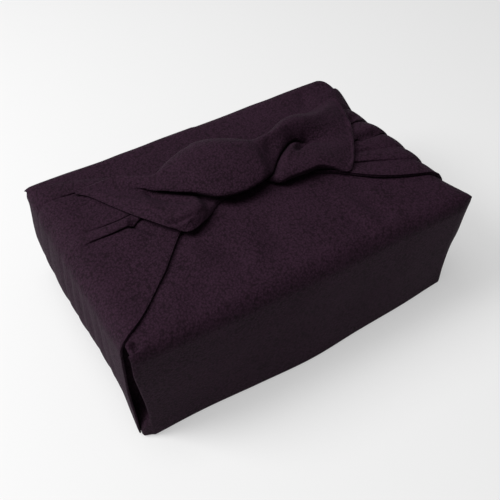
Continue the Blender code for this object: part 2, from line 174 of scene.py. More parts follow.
@dataclass(frozen=True)
class Crepe:
    """The finish of the cloth: a dark purple crepe with a fine pebbled grain.

    grain, thread and blotch are the sizes of the pebbles, of the threads in them and of the soft
    lighter and darker patches. grain_share is how far the pebbles dip into the relief, and
    blotch_share how much the patches add to the shade. The shades at either end of tone_range are
    deep and pale.
    """

    deep: tuple[float, float, float, float] = (0.0082, 0.0021, 0.0060, 1.0)
    pale: tuple[float, float, float, float] = (0.0290, 0.0106, 0.0234, 1.0)
    roughness: float = 0.85
    specular: float = 0.12
    sheen: float = 0.012
    sheen_roughness: float = 0.5
    sheen_tint: tuple[float, float, float, float] = (0.75, 0.55, 0.8, 1.0)
    grain: float = 1.35
    grain_smoothness: float = 0.6
    grain_share: float = -0.9
    thread: float = 0.7
    thread_detail: float = 3.0
    thread_roughness: float = 0.6
    blotch: float = 26.0
    blotch_detail: float = 4.0
    blotch_share: float = 0.3
    tone_range: tuple[float, float] = (-0.1, 0.6)
    bump_depth: float = 0.5
    bump_strength: float = 0.75

    def material(self) -> bpy.types.Material:
        """Make the crepe's material, whose patterns follow Object coordinates.

        Returns:
            The material.
        """
        cloth = bpy.data.materials.new("crepe")
        cloth.use_nodes = True
        nodes = cloth.node_tree.nodes
        link = cloth.node_tree.links.new
        shader = nodes["Principled BSDF"]
        shader.inputs["Roughness"].default_value = self.roughness
        shader.inputs["Specular IOR Level"].default_value = self.specular
        shader.inputs["Sheen Weight"].default_value = self.sheen
        shader.inputs["Sheen Roughness"].default_value = self.sheen_roughness
        shader.inputs["Sheen Tint"].default_value = self.sheen_tint

        place = nodes.new("ShaderNodeTexCoord")
        pebbles = nodes.new("ShaderNodeTexVoronoi")
        pebbles.feature = "SMOOTH_F1"
        pebbles.inputs["Scale"].default_value = 1.0 / (self.grain * MM)
        pebbles.inputs["Smoothness"].default_value = self.grain_smoothness
        threads = nodes.new("ShaderNodeTexNoise")
        threads.inputs["Scale"].default_value = 1.0 / (self.thread * MM)
        threads.inputs["Detail"].default_value = self.thread_detail
        threads.inputs["Roughness"].default_value = self.thread_roughness
        blotches = nodes.new("ShaderNodeTexNoise")
        blotches.inputs["Scale"].default_value = 1.0 / (self.blotch * MM)
        blotches.inputs["Detail"].default_value = self.blotch_detail
        for texture in (pebbles, threads, blotches):
            link(place.outputs["Object"], texture.inputs["Vector"])

        relief = nodes.new("ShaderNodeMath")
        relief.operation = "MULTIPLY_ADD"
        relief.inputs[1].default_value = self.grain_share
        link(pebbles.outputs["Distance"], relief.inputs[0])
        link(threads.outputs["Fac"], relief.inputs[2])
        bump = nodes.new("ShaderNodeBump")
        bump.inputs["Strength"].default_value = self.bump_strength
        bump.inputs["Distance"].default_value = self.bump_depth * MM
        link(relief.outputs["Value"], bump.inputs["Height"])
        link(bump.outputs["Normal"], shader.inputs["Normal"])

        shade = nodes.new("ShaderNodeMath")
        shade.operation = "MULTIPLY_ADD"
        shade.inputs[1].default_value = self.blotch_share
        link(blotches.outputs["Fac"], shade.inputs[0])
        link(relief.outputs["Value"], shade.inputs[2])
        spread = nodes.new("ShaderNodeMapRange")
        spread.inputs["From Min"].default_value = self.tone_range[0]
        spread.inputs["From Max"].default_value = self.tone_range[1]
        link(shade.outputs["Value"], spread.inputs["Value"])
        tone = nodes.new("ShaderNodeMix")
        tone.data_type = "RGBA"
        tone.inputs["A"].default_value = self.deep
        tone.inputs["B"].default_value = self.pale
        link(spread.outputs["Result"], tone.inputs["Factor"])
        link(tone.outputs["Result"], shader.inputs["Base Color"])
        return cloth


@dataclass(frozen=True)
class Sheet:
    """How a grid of points becomes a thin sheet of cloth."""

    thickness: float = 0.9

    def make(self, name: str, points: np.ndarray, quads: np.ndarray,
             cloth: bpy.types.Material) -> bpy.types.Object:
        """Make the sheet and give it its thickness on its inner side.

        Args:
            name: The piece's name.
            points: Its points in millimetres, one a row.
            quads: Four point numbers for each face, counted so that it faces outwards.
            cloth: The material.

        Returns:
            The finished piece, riding on the body.
        """
        mesh = bpy.data.meshes.new(name)
        mesh.from_pydata((points * MM).tolist(), [], quads.tolist())
        mesh.update()
        mesh.shade_smooth()
        mesh.materials.append(cloth)
        piece = bpy.data.objects.new(name, mesh)
        bpy.context.scene.collection.objects.link(piece)
        bpy.ops.object.select_all(action="DESELECT")
        piece.select_set(True)
        bpy.context.view_layer.objects.active = piece
        wall = piece.modifiers.new("thickness", "SOLIDIFY")
        wall.thickness = self.thickness * MM
        wall.offset = -1.0
        wall.use_even_offset = False
        bpy.ops.object.modifier_apply(modifier=wall.name)
        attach(piece, BODY)
        log.info("%s: %d faces", name, len(piece.data.polygons))
        return piece


def grid_quads(rows: int, columns: int, flip: bool = False) -> np.ndarray:
    """Return the faces of a grid whose points are numbered along each row in turn.

    Args:
        rows: How many rows of points the grid has.
        columns: How many points a row has.
        flip: Whether the faces look the other way.

    Returns:
        Four point numbers for each face.
    """
    first = (np.arange(rows - 1)[:, None] * columns + np.arange(columns - 1)[None, :]).ravel()
    quads = np.stack([first, first + columns, first + columns + 1, first + 1], axis=1)
    return quads[:, ::-1] if flip else quads


# Lines that two sheets share: a fold there runs through the flap and dents the cloth under it.
UNDER_LEFT_TAIL = ((-80, 12), (-77, 8.5), (-73.5, 4), (-70, -1), (-67, -5))
LOWER_RIGHT_HEM = ((92, 6), (104, 6), (117, 5.5))
UPPER_RIGHT_HEM = ((92, 23), (101, 26.5), (111, 30))

# The creases of the panels: the knot drags the cloth of the front half into soft wrinkles.
BODY_CREASES = (
    Crease("hollow at the back right", Face.TOP, ((92, 72), (86, 63), (79, 55)), -2.0, 3.2),
    Crease("first drag ridge", Face.TOP, ((47, -31), (51, -49), (53, -70)), 1.95, 4, 0.08, 0.35),
    Crease("second drag ridge", Face.TOP, ((70, -34), (72, -55)), 1.43, 3.6, 0.08, 0.35),
    Crease("first drag trough", Face.TOP, ((61, -43), (66, -66)), -1.56, 4, 0.08, 0.35),
    Crease("second drag trough", Face.TOP, ((39, -49), (47, -72)), -1.17, 4.5, 0.08, 0.35),
    Crease("third drag trough", Face.TOP, ((-6, -23), (-7, -57)), -1.56, 7),
    Crease("third drag ridge", Face.TOP, ((-22, -27), (-27, -56)), 0.91, 6),
    Crease("fourth drag trough", Face.TOP, ((-40, -28), (-36, -56)), -1.56, 6),
    Crease("fourth drag ridge", Face.TOP, ((-56, -19), (-56, -44)), 1.56, 5.5),
    Crease("fifth drag ridge", Face.TOP, ((-82, -41), (-85, -69)), 1.56, 5),
    Crease("fifth drag trough", Face.TOP, ((-67, -47), (-58, -70)), -1.04, 6),
    Crease("hollow under the left tail", Face.TOP, UNDER_LEFT_TAIL, -2.4, 2.8, 0.2, 0.1),
    Crease("hollow by the right hem", Face.TOP, LOWER_RIGHT_HEM, -3.0, 2.6, 0.02, 0.45),
    Crease("upper hollow by the hem", Face.TOP, UPPER_RIGHT_HEM, -3.0, 2.6, 0.02, 0.45),
    Crease("dimple at the corner", Face.TOP, ((-117, -67), (-116.5, -71), (-115, -75)),
           -5.0, 3.2, 0.1, 0.1),
    Crease("sag of the front", Face.FRONT, ((-70, 42), (0, 36), (70, 40)), -0.8, 20.0, 0.4, 0.4),
)


@dataclass(frozen=True)
class WrappedBody:
    """The carton under its smooth panels: a rounded box that bulges and tapers a little.

    Rows of values, such as front_foot, are evenly spaced from one end of the box to the other.
    """

    length: float = 240.0
    width: float = 155.0
    height: float = 84.0

    # The rounding of the edges and corners. Where the flap pulls at the right end, it is rounder.
    edge_radius: float = 11.0
    back_radius: float = 5.0
    back_radius_from: float = 45.0
    corner_radius: float = 6.0
    underside_radius: float = 2.0
    pulled_radius: float = 12.0
    pulled_y: float = 38.0
    pulled_reach: float = 26.0
    pulled_from_z: float = 25.0

    # How far the faces bulge, the feet stand out and the knot pulls the corners out of line.
    crown: float = 1.2
    front_foot: tuple[float, ...] = (2.5, 2.4, 4.6, 6.2, 3.6, 1.6, -1.5)
    left_foot: tuple[float, ...] = (-1.0, 4.0, 8.5, 10.3, 8.5)
    back_bulge: float = 3.0
    back_flare: float = 4.5
    back_edge: tuple[float, ...] = (1.5, 0.2, -0.8, 0.8, 1.5, 3.3, 4.0)
    back_edge_from: float = 20.0
    left_bulge: float = 4.5
    left_bulge_y: float = 20.0
    left_bulge_reach: float = 70.0
    right_bulge: float = 8.0
    right_bulge_y: float = -90.0
    right_bulge_reach: float = 32.0
    right_taper: float = 8.5
    right_taper_top: float = 55.0
    ears: tuple[tuple[float, float, float], ...] = (
        (-1.0, 1.0, 0.0), (0.5, 0.5, 0.0), (-6.0, 1.0, -1.5), (-9.0, 1.5, 1.0))
    face_power: int = 8
    ear_power: int = 6
    corner_power: int = 4
    between_ends_power: int = 4

    # The open pleat at the front left corner. pleat_opening gives the shares of the height at
    # which it starts and is fully open, and pleat_slope how far in it gets deep.
    pleat_gap: float = 14.0
    pleat_opening: tuple[float, float] = (0.05, 0.4)
    pleat_start_y_at_top: float = -52.0
    pleat_start_y_at_floor: float = -56.0
    pleat_slope: float = 12.0
    pleat_deepest_y: float = -74.5
    pleat_top: float = 82.0
    pleat_full: float = 66.0
    pleat_start_x: float = -114.0
    pleat_end_x: float = -92.0

    # The front panel's edge beside the pleat, and how far it leans in or out from floor to top.
    panel_edge_y: float = -77.0
    panel_edge_radius: float = 2.5
    panel_edge_reach: float = 105.0
    panel_edge_from_y: float = 62.0
    panel_edge_shift: tuple[float, ...] = (5.6, 5.0, 3.2, 1.2, -0.8, -2.0)

    # How finely the sheet is divided: finer in a band beside each edge of the box.
    fine_step: float = 1.3
    broad_step: float = 3.4
    edge_band: float = 14.0
    point_digits: int = 4

    # The cloth's flat size in metres, its creases and its waves. A crease fades out so far from
    # its face, and the waves start and are full so far above the floor.
    flat: tuple[float, float] = (0.56, 0.29)
    creases: tuple[Crease, ...] = BODY_CREASES
    crease_depth: float = 3.0
    waves: tuple[Waves, ...] = (Waves(48.0, 0.8, 3.1), Waves(17.0, 0.22, 7.7))
    waves_above: tuple[float, float] = (1.0, 14.0)

    def spread(self, row: tuple[float, ...], place: np.ndarray, size: float) -> np.ndarray:
        """Return the value that a row of evenly spaced values has at each place across a size."""
        index = (place / size + 0.5) * (len(row) - 1)
        return curve(np.array(row), index.ravel()).reshape(place.shape)

    def radius(self, x: np.ndarray, y: np.ndarray, z: np.ndarray, share: np.ndarray) -> np.ndarray:
        """Return how far the edges are rounded near points of the plain box.

        Args:
            x: Places along the box.
            y: Places across the box.
            z: Heights above the floor.
            share: How far out each point is, as shares of the box's half sizes.

        Returns:
            One radius for each point.
        """
        corner = share.prod(axis=-1) ** self.corner_power
        radius = self.edge_radius + (self.back_radius - self.edge_radius) * ramp(
            y, self.back_radius_from, self.width / 2 - self.edge_radius)
        radius = radius + (self.corner_radius - radius) * corner
        panel_edge = ramp(x, -self.panel_edge_reach, -self.length / 2) * ramp(
            y, -self.panel_edge_from_y, -self.width / 2) * ramp(z, self.height, self.pleat_full)
        radius = radius + (self.panel_edge_radius - radius) * panel_edge
        pulled = bell(y - self.pulled_y, self.pulled_reach)
        pulled = pulled * ramp(z, self.pulled_from_z, self.height)
        radius = radius + np.where(x > 0.0, self.pulled_radius * pulled, 0.0)
        return radius + (self.underside_radius - radius) * ramp(z, self.height / 2, 0.0)

    def swelling(self, x: np.ndarray, y: np.ndarray, z: np.ndarray,
                 share: np.ndarray) -> np.ndarray:
        """Return how far the faces stand out from the plain box.

        Args:
            x: Places along the box.
            y: Places across the box.
            z: Heights above the floor.
            share: How far out each point is, as shares of the box's half sizes.

        Returns:
            One vector for each point.
        """
        belly = 1.0 - share[..., 2] ** 2
        between_ends = 1.0 - share[..., 0] ** self.between_ends_power
        end = share[..., 0] ** self.face_power
        side = share[..., 1] ** self.face_power
        top = np.where(z > self.height / 2, share[..., 2] ** self.face_power, 0.0)
        foot = ramp(z, self.height / 2, 0.0)
        left = -self.left_bulge * belly * bell(y - self.left_bulge_y, self.left_bulge_reach)
        left = left + foot * self.spread(self.left_foot, y, self.width)
        right = self.right_bulge * bell(y - self.right_bulge_y, self.right_bulge_reach)
        right = right - self.right_taper * ramp(z, self.right_taper_top, 0.0)
        along = np.where(x < 0.0, left, right)
        flare = self.spread(self.front_foot, x, self.length) * (z / self.height - 1.0)
        back = self.back_bulge * between_ends + self.back_flare * (1.0 - z / self.height)
        across = np.where(y < 0.0, flare, back)
        up = self.crown * (1.0 - share[..., 0] ** 2) * (1.0 - share[..., 1] ** 2)
        up = up + self.spread(self.back_edge, x, self.length) * ramp(
            y, self.back_edge_from, self.width / 2)
        near_corner = top * (share[..., 0] * share[..., 1]) ** self.ear_power
        corner = np.where(y > 0.0, 2, 0) + np.where(x > 0.0, 1, 0)
        ear = near_corner[..., None] * np.array(self.ears)[corner]
        return ear + np.stack([along * end, across * side, up * top], axis=-1)

    def skin(self, x: np.ndarray, y: np.ndarray, z: np.ndarray,
             rise: np.ndarray | float = 0.0) -> np.ndarray:
        """Return the points of the wrapped body for points of its plain box.

        Args:
            x: Places along the box.
            y: Places across the box.
            z: Heights above the floor.
            rise: How far the returned points stand out from the body.

        Returns:
            The points, with x, y and z last.
        """
        half = np.array([self.length / 2, self.width / 2, self.height / 2])
        x, y, z, rise = np.broadcast_arrays(x, y, z, rise)
        point = np.stack([x, y, z - half[2]], axis=-1).astype(float)
        share = np.abs(point) / half
        radius = self.radius(x, y, z, share)
        inner = np.clip(point, radius[..., None] - half, half - radius[..., None])
        outward = point - inner
        outward /= np.linalg.norm(outward, axis=-1, keepdims=True)
        place = inner + outward * (radius + rise)[..., None] + self.swelling(x, y, z, share)
        place[..., 2] += half[2]
        return place

    def pleat_depth(self, y: np.ndarray, z: np.ndarray) -> np.ndarray:
        """Return how deep the open pleat is at places on the left end.

        Args:
            y: Places across the box.
            z: Heights above the floor.

        Returns:
            One depth for each place, measured inwards along the box.
        """
        height = z / self.height
        start = self.pleat_start_y_at_floor
        start = start + (self.pleat_start_y_at_top - start) * height
        depth = self.pleat_gap * ramp(height, *self.pleat_opening)
        opened = ramp(y, start, start - self.pleat_slope)
        opened = opened * ramp(y, self.panel_edge_y, self.pleat_deepest_y)
        return depth * opened * ramp(z, self.pleat_top, self.pleat_full)

    def places(self, half: float) -> np.ndarray:
        """Return where the box is divided across one axis: closer together near its edges.

        Args:
            half: Half the box's size along that axis.

        Returns:
            The places from one side to the other, in order.
        """
        inside = half - self.edge_band
        middle = np.linspace(-inside, inside, round(2.0 * inside / self.broad_step) + 1)
        band = np.linspace(inside, half, round(self.edge_band / self.fine_step) + 1)[1:]
        return np.concatenate([-band[::-1], middle, band])

    def box_grid(self) -> tuple[np.ndarray, np.ndarray]:
        """Divide the plain box into a grid.

        Returns:
            Its points, one a row, and four point numbers for each face.
        """
        half = (self.length / 2, self.width / 2, self.height / 2)
        lines = [self.places(size) for size in half]
        numbers: dict[tuple[float, ...], int] = {}
        quads = []
        for axis in range(3):
            across, up = (axis + 1) % 3, (axis + 2) % 3
            for sign in (-1.0, 1.0):
                grid = []
                for a in lines[across]:
                    row = []
                    for b in lines[up]:
                        point = [0.0, 0.0, 0.0]
                        point[axis], point[across], point[up] = sign * half[axis], a, b
                        key = tuple(round(value, self.point_digits) for value in point)
                        row.append(numbers.setdefault(key, len(numbers)))
                    grid.append(row)
                for near, far in zip(grid, grid[1:]):
                    for index in range(len(near) - 1):
                        corners = [near[index], far[index], far[index + 1], near[index + 1]]
                        quads.append(corners if sign > 0.0 else corners[::-1])
        points = np.array(list(numbers), float)
        points[:, 2] += half[2]
        return points, np.array(quads)

    def build(self, sheet: Sheet, cloth: bpy.types.Material) -> bpy.types.Object:
        """Build the panels of cloth that cover the carton.

        Args:
            sheet: How the points become a thin sheet.
            cloth: The material.

        Returns:
            The finished piece.
        """
        plain, quads = self.box_grid()
        x, y, z = plain.T
        rise = np.zeros(len(plain))
        on_face = {
            Face.TOP: ramp(z, self.height - self.crease_depth, self.height),
            Face.FRONT: ramp(y, -self.width / 2 + self.crease_depth, -self.width / 2),
            Face.END: ramp(x, -self.length / 2 + self.crease_depth, -self.length / 2),
        }
        for crease in self.creases:
            rise += crease.lift(plain) * on_face[crease.face]
        rise += lifted(plain, self.waves) * ramp(z, *self.waves_above)
        points = self.skin(x, y, z, rise)
        points[:, 0] += self.pleat_depth(y, z) * ramp(x, self.pleat_end_x, self.pleat_start_x)
        shift = self.spread(self.panel_edge_shift, z - self.height / 2, self.height)
        points[:, 0] += shift * ramp(x, self.pleat_end_x, self.pleat_start_x) * ramp(
            y, self.pleat_deepest_y, self.panel_edge_y)
        points[:, 2] = np.maximum(points[:, 2], 0.0)
        piece = sheet.make("panels", points, quads, cloth)
        return piece


@dataclass(frozen=True)
class Fold:
    """One line of a flap, from under the knot, over the end's edge and down to the floor.

    The y values say where the line runs and the rises how far it stands out from the body, each
    at the knot, at the middle, at the edge and at the floor. lean is how far the cloth on the
    line's front side hangs forward.
    """

    name: str
    y: tuple[float, float, float, float]
    rise: tuple[float, float, float, float]
    lean: tuple[float, float, float, float] = (0.0, 0.0, 0.0, 0.0)


# The folds of each flap, from its front edge to its back edge: crests and creases take turns.
LEFT_FOLDS = (
    Fold("leading edge", (-5, -40, -65, -66), (2.0, 1.7, 1.7, 1.4)),
    Fold("on the hem", (-2, -37, -62, -62), (2.1, 1.9, 1.9, 1.5)),
    Fold("behind the hem", (8, -18, -38, -34), (2.2, 1.9, 1.7, 1.6)),
    Fold("flat panel", (10, -14, -30, -16), (1.5, 1.4, 1.5, 1.3)),
    Fold("low crest", (12, 4, -6, -3), (1.6, 2.2, 1.8, 1.6)),
    Fold("deep crease", (15, 10.5, 8, 5), (1.0, 1.0, 1.5, 1.4)),
    Fold("narrow crest", (17, 13, 12.5, 10), (2.6, 4.0, 1.9, 1.6), (1.0, 3.2, 0.3, 0.0)),
    Fold("soft crease", (20, 17, 18, 17), (1.5, 1.5, 1.5, 1.4)),
    Fold("broad crest", (24, 21, 26, 24), (2.4, 3.2, 2.0, 1.8), (0.5, 1.8, 0.2, 0.0)),
    Fold("hollow", (30, 35, 39, 39), (1.8, 1.6, 1.4, 1.1)),
    Fold("back crest", (35, 44, 49, 50), (2.2, 2.3, 2.4, 1.6)),
    Fold("back crease", (38, 51.5, 54.5, 58), (1.2, 1.0, 1.3, 1.3)),
    Fold("corner crest", (41, 55, 61, 66), (1.8, 3.2, 2.2, 1.6), (0.2, 2.6, 0.8, 0.0)),
    Fold("back edge", (45, 61, 71, 75), (1.4, 1.6, 1.8, 1.4)),
)

RIGHT_FOLDS = (
    Fold("leading edge", (-8, -34, -48, -60), (2.2, 2.6, 2.2, 1.3)),
    Fold("on the hem", (-6.5, -31, -45, -56), (2.4, 2.8, 2.3, 1.4)),
    Fold("front crest", (-5, -25, -39, -49), (2.2, 2.3, 2.2, 1.4)),
    Fold("front crease", (-3, -16, -31, -40), (1.2, 1.0, 1.1, 1.0)),
    Fold("second crest", (-1, -11, -24, -32), (2.4, 3.2, 2.8, 1.6), (0.6, 2.0, 0.8, 0.0)),
    Fold("second crease", (1, -5, -15, -22), (1.4, 1.2, 1.2, 1.1)),
    Fold("third crest", (4, 0, -6, -10), (2.6, 3.0, 2.8, 1.8), (0.3, 0.6, 0.3, 0.0)),
    Fold("deep crease", (7, 6, 6, 5), (1.0, 0.95, 1.0, 1.0)),
    Fold("fourth crest", (11, 11, 12, 14), (2.4, 4.2, 3.2, 1.8), (0.6, 3.0, 2.6, 0.0)),
    Fold("fourth crease", (16, 22, 24, 26), (1.2, 1.0, 1.0, 1.0)),
    Fold("fifth crest", (21, 28, 32, 35), (2.4, 4.0, 3.0, 1.8), (0.5, 3.2, 2.8, 0.0)),
    Fold("fifth crease", (27, 38, 42, 44), (1.2, 1.1, 1.0, 1.0)),
    Fold("back crest", (32, 46, 51, 53), (2.2, 2.8, 2.4, 1.4), (0.0, 1.6, 1.6, 0.0)),
    Fold("back edge", (38, 55, 62, 65), (1.4, 1.6, 1.6, 1.3)),
)

# The flaps' flat sizes in metres, and how far the left one's toe swings forward.
LEFT_FLAT = (0.16, 0.19)
RIGHT_FLAT = (0.16, 0.17)
LEFT_TOE = 7.5

# The finer creases that run over the folds.
LEFT_CREASES = (
    Crease("notch under the tail", Face.TOP, UNDER_LEFT_TAIL, -3.4, 2.2, 0.2, 0.1),
    Crease("gathers down the end", Face.END, ((16, 80), (14, 50), (12, 14)), -0.9, 2.6),
    Crease("gathers further down", Face.END, ((4, 79), (1, 48), (-1, 14)), -0.8, 3.0),
    Crease("third gather", Face.END, ((-8, 78), (-12, 46), (-14, 12)), -0.9, 3.0),
    Crease("fourth gather", Face.END, ((-20, 78), (-26, 44), (-28, 12)), -0.8, 3.2),
    Crease("fifth gather", Face.END, ((-34, 78), (-39, 42), (-42, 10)), -0.9, 3.0),
    Crease("sixth gather", Face.END, ((-47, 76), (-51, 40), (-54, 10)), -0.7, 2.6),
    Crease("fold by the hollow", Face.TOP, ((-100, 6), (-108, 4), (-116, 2)), -0.8, 1.6, 0.4, 0.4),
)

RIGHT_CREASES = (
    Crease("slot at the tail's hem", Face.TOP, LOWER_RIGHT_HEM, -4.0, 2.2, 0.02, 0.45),
    Crease("upper slot at the hem", Face.TOP, UPPER_RIGHT_HEM, -4.0, 2.2, 0.02, 0.45),
)


@dataclass(frozen=True)
class GatheredFlap:
    """One corner of the cloth: gathered at the knot, laid over an end and folded down it.

    Reaches are measured from the wrap's middle, along the top and then down the end. flat is the
    cloth's flat size in metres, and is not used.
    """

    name: str
    side: Side
    folds: tuple[Fold, ...]
    creases: tuple[Crease, ...]
    body: WrappedBody
    flat: tuple[float, float]

    # How far the leading edge swings forward at the floor, from which reach on it does so, and
    # how far behind the edge the swing has faded out.
    toe: float = 0.0
    toe_reach: float = 158.0
    toe_width: float = 12.0

    # Where the folds' four values are measured.
    knot_reach: float = 46.0
    middle_reach: float = 84.0
    edge_reach: float = 117.0
    floor_reach: float = 201.5

    # How the long edges are turned under: how far in the hidden hem reaches, the last two places
    # of the turn and how high the last one stands, how nearly the two layers meet, and how much
    # the edge above them is drawn in.
    hidden_hem: float = 9.0
    under_rise: float = 0.1
    hem_turn: tuple[float, float] = (1.2, 0.35)
    hem_turn_rise: float = 0.25
    hem_gap: float = 0.02
    hem_drawn_in: float = 0.5

    # How finely the sheet is divided, and how its folds are rounded.
    station_step: float = 1.5
    steps_per_fold: int = 8
    crease_sharpness: float = 0.7

    # The cloth's own unevenness, which is left out where it lies closer to the body than the
    # first rise, and full above the second. Nothing comes lower than the gap above the floor.
    waves: tuple[Waves, ...] = (Waves(22.0, 0.35, 1.3), Waves(8.0, 0.12, 5.9))
    shaped_above: tuple[float, float] = (0.6, 1.2)
    floor_gap: float = 0.15

    def along(self, values: np.ndarray, reaches: np.ndarray) -> np.ndarray:
        """Return values given at the four named places, read at the reaches along the folds."""
        places = np.array([self.knot_reach, self.middle_reach, self.edge_reach, self.floor_reach])
        return curve(values.T, np.interp(reaches, places, np.arange(4.0)))

    def cross_sections(self, reaches: np.ndarray) -> tuple[np.ndarray, np.ndarray]:
        """Return the flap's cross-sections.

        Args:
            reaches: Distances from the wrap's middle along the folds.

        Returns:
            The y values and the rises across the flap, one row for each reach.
        """
        y = self.along(np.array([fold.y for fold in self.folds], float), reaches)
        rise = self.along(np.array([fold.rise for fold in self.folds], float), reaches)
        lean = self.along(np.array([fold.lean for fold in self.folds], float), reaches)
        ys = []
        rises = []
        for index in range(len(self.folds) - 1):
            near_y, far_y = y[:, index], y[:, index + 1]
            near_rise, far_rise = rise[:, index], rise[:, index + 1]
            for step in range(self.steps_per_fold):
                share = step / self.steps_per_fold
                from_crease = np.where(near_rise < far_rise, share, 1.0 - share)
                low, high = np.minimum(near_rise, far_rise), np.maximum(near_rise, far_rise)
                hang = lean[:, index + 1] * sin(pi * share)
                ys.append(near_y + (far_y - near_y) * share - hang)
                round_rise = np.sin(from_crease * pi / 2) ** self.crease_sharpness
                rises.append(low + (high - low) * round_rise)
        ys.append(y[:, -1])
        rises.append(rise[:, -1])
        return np.stack(ys, axis=1), np.stack(rises, axis=1)

    def with_hems(self, y: np.ndarray, rise: np.ndarray) -> tuple[np.ndarray, np.ndarray]:
        """Return the cross-sections with each long edge turned under.

        Args:
            y: The places across the flap, one row for each reach.
            rise: The rises there.

        Returns:
            Both, with the places of the turned hems at either end of each row.
        """
        under = np.array([self.hidden_hem, self.hidden_hem / 2, *self.hem_turn])
        low = np.full((len(y), len(under)), self.under_rise)
        low[:, -1] += self.hem_turn_rise
        front = np.concatenate([y[:, :1] + under, y[:, :1] + self.hem_gap], axis=1)
        front_rise = np.concatenate([low, (low[:, :1] + rise[:, :1]) / 2], axis=1)
        back = np.concatenate([y[:, -1:] - self.hem_gap, y[:, -1:] - under[::-1]], axis=1)
        back_rise = np.concatenate([(low[:, :1] + rise[:, -1:]) / 2, low[:, ::-1]], axis=1)
        y = y.copy()
        y[:, 0] += self.hem_drawn_in
        y[:, -1] -= self.hem_drawn_in
        return (np.concatenate([front, y, back], axis=1),
                np.concatenate([front_rise, rise, back_rise], axis=1))

    def build(self, sheet: Sheet, cloth: bpy.types.Material) -> bpy.types.Object:
        """Build the flap.

        Args:
            sheet: How the points become a thin sheet.
            cloth: The material.

        Returns:
            The finished piece.
        """
        count = round((self.floor_reach - self.knot_reach) / self.station_step) + 1
        reaches = np.linspace(self.knot_reach, self.floor_reach, count)
        y, rise = self.cross_sections(reaches)
        swing = ramp(y, y[:, :1] + self.toe_width, y[:, :1])
        y = y - self.toe * swing * ramp(reaches, self.toe_reach, self.floor_reach)[:, None]
        y, rise = self.with_hems(y, rise)
        half = self.body.length / 2
        reach = np.broadcast_to(reaches[:, None], y.shape)
        x = self.side.value * np.minimum(reach, half)
        z = self.body.height - np.maximum(reach - half, 0.0)
        smooth = self.body.skin(x, y, z, rise).reshape(-1, 3)
        lift = lifted(smooth, self.creases) + lifted(smooth, self.waves)
        lift = (lift * ramp(rise.ravel(), *self.shaped_above)).reshape(rise.shape)
        points = self.body.skin(x, y, z, rise + lift).reshape(-1, 3)
        points[:, 2] = np.maximum(points[:, 2], self.floor_gap)
        quads = grid_quads(len(reaches), y.shape[1], flip=self.side is Side.LEFT)
        piece = sheet.make(self.name, points, quads, cloth)
        return piece


@dataclass(frozen=True)
class Section:
    """One section across the knot, from its back edge to its front edge.

    Heights are above the body's top. Each of the seven places between the edges is the share of
    the way from back to front, and the height there. The cloth turns back under itself where a
    share is less than the one before it, and hangs out past the front edge where a share is more
    than 1. bow moves the section's middle to the right, and tuck is how far its front edge is
    rolled under.
    """

    back: tuple[float, float]
    front: tuple[float, float]
    bow: float
    back_height: float
    shoulder: tuple[float, float]
    crest: tuple[float, float]
    slope: tuple[float, float]
    lip: tuple[float, float]
    under_lip: tuple[float, float]
    low_crest: tuple[float, float]
    front_top: tuple[float, float]
    front_height: float
    tuck: float

    def places(self) -> tuple[tuple[float, float], ...]:
        """Return the share and the height of all nine places, from back to front."""
        return ((0.0, self.back_height), self.shoulder, self.crest, self.slope, self.lip,
                self.under_lip, self.low_crest, self.front_top, (1.0, self.front_height))


